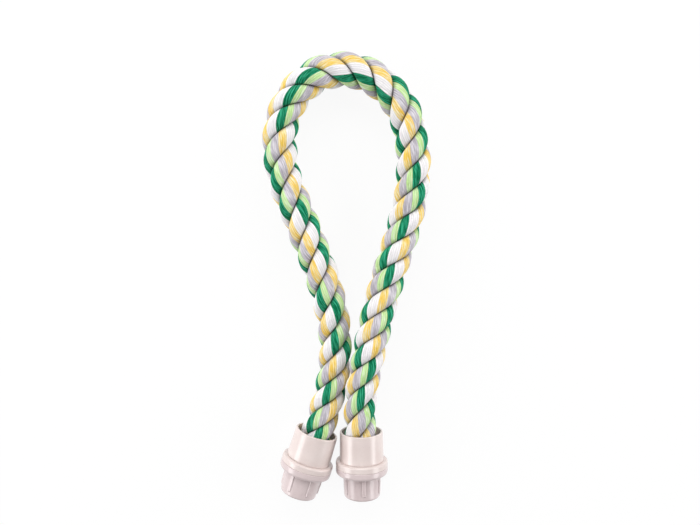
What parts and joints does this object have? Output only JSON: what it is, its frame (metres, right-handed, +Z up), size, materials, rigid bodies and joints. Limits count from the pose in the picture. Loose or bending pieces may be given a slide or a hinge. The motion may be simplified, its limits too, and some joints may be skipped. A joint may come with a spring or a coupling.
{
  "type": "rope bird perch",
  "caption": "Bendable wire-cored rope perch lying in a loop, with a screw clamp fitting on each end that grips the bars of a cage.",
  "frame": {"origin": "on the surface that the perch lies on, under the middle of its box", "axes": "+X across the loop, +Y from the clamp fittings to the top of the loop, +Z up from the surface"},
  "size_m": [0.0948, 0.2516, 0.0295],
  "materials": {
    "cotton_rope": "matte",
    "core_wire": "satin",
    "ivory_plastic": "gloss",
    "hot_glue": "satin",
    "binding_tape": "matte"
  },
  "bodies": {
    "arch": {"rope_arch": "cotton_rope", "rope_left_bend": "cotton_rope", "rope_right_bend": "cotton_rope", "core_wire_arch": "core_wire", "core_wire_left_bend": "core_wire", "core_wire_right_bend": "core_wire"},
    "left_leg": {"rope_left_leg": "cotton_rope", "core_wire_left_leg": "core_wire", "end_sleeve_left": "ivory_plastic", "clamp_bolt_left": "ivory_plastic", "glue_plug_left": "hot_glue", "end_tape_left": "binding_tape"},
    "left_washer": {"clamp_washer_left": "ivory_plastic"},
    "left_nut": {"cap_nut_left": "ivory_plastic"},
    "right_leg": {"rope_right_leg": "cotton_rope", "core_wire_right_leg": "core_wire", "end_sleeve_right": "ivory_plastic", "clamp_bolt_right": "ivory_plastic", "glue_plug_right": "hot_glue", "end_tape_right": "binding_tape"},
    "right_washer": {"clamp_washer_right": "ivory_plastic"},
    "right_nut": {"cap_nut_right": "ivory_plastic"}
  },
  "joints": [
    {"name": "left_leg_bend", "type": "hinge", "parent": "arch", "child": "left_leg", "pos_m": [-0.0373, 0.0749, 0.0109], "axis": [0, 0, -1], "range_deg": [0, 75], "deforming": ["rope_left_bend", "core_wire_left_bend"]},
    {"name": "right_leg_bend", "type": "hinge", "parent": "arch", "child": "right_leg", "pos_m": [0.03645, 0.0744, 0.0109], "axis": [0, 0, 1], "range_deg": [0, 75], "deforming": ["rope_right_bend", "core_wire_right_bend"]},
    {"name": "left_washer_slide", "type": "slide", "parent": "left_leg", "child": "left_washer", "axis": [-0.2973, -0.9546, 0.0203], "range_m": [0, 0.01]},
    {"name": "left_nut_turn", "type": "hinge", "parent": "left_washer", "child": "left_nut", "pos_m": [-0.02168, -0.10321, 0.01469], "axis": [-0.2973, -0.9546, 0.0203], "range_deg": [0, 1440]},
    {"name": "right_washer_slide", "type": "slide", "parent": "right_leg", "child": "right_washer", "axis": [0.0153, -0.9997, 0.0213], "range_m": [0, 0.01]},
    {"name": "right_nut_turn", "type": "hinge", "parent": "right_washer", "child": "right_nut", "pos_m": [0.00839, -0.10368, 0.0147], "axis": [0.0153, -0.9997, 0.0213], "range_deg": [0, 1440]}
  ],
  "couplings": [
    {"joint": "left_washer_slide", "follows": "left_nut_turn", "m_per_rad": 0.00039789},
    {"joint": "right_washer_slide", "follows": "right_nut_turn", "m_per_rad": 0.00039789}
  ]
}
